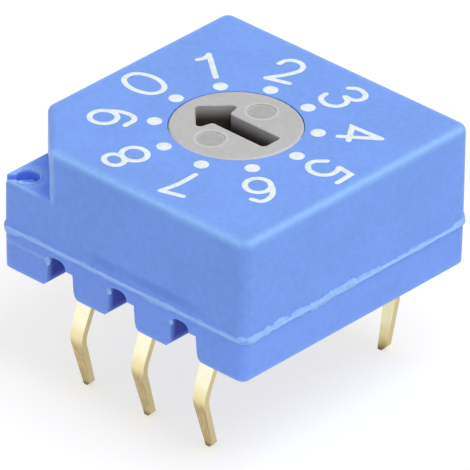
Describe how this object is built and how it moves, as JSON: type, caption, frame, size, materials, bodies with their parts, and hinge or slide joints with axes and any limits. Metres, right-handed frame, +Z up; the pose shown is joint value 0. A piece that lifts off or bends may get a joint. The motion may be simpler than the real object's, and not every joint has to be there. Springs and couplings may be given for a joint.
{
  "type": "bcd coded rotary switch",
  "caption": "Square board-mounted rotary code switch with a flush dial turned by a driver in an arrow slot, a numbered face, a cut index corner and kinked pins.",
  "frame": {"origin": "centre of the housing's underside, on the plane that sits on the board", "axes": "+Z up out of the board along the dial's axis, X along the rows of pins, position zero and the index corner towards -X, the index corner at -X -Y"},
  "size_m": [0.0102, 0.0102, 0.0087],
  "materials": {
    "housing": "fine matt moulded",
    "dial": "matt moulded",
    "contact": "gold plated, satin",
    "spring": "rolled strip",
    "seal": "moulded",
    "print": "pad-printed ink"
  },
  "bodies": {
    "housing": {"cover": "housing", "base": "housing", "click_spring_left": "spring", "click_spring_right": "spring", "terminal_bit_1": "contact", "terminal_common_front": "contact", "terminal_bit_2": "contact", "terminal_bit_8": "contact", "terminal_common_back": "contact", "terminal_bit_4": "contact"},
    "dial": {"rotor": "dial", "code_disc": "contact", "seal": "seal"}
  },
  "joints": [
    {"name": "dial_turn", "type": "hinge", "parent": "housing", "child": "dial", "pos_m": [0, 0, 0], "axis": [0, 0, 1], "continuous": true, "deforming": ["click_spring_left", "click_spring_right"]}
  ]
}
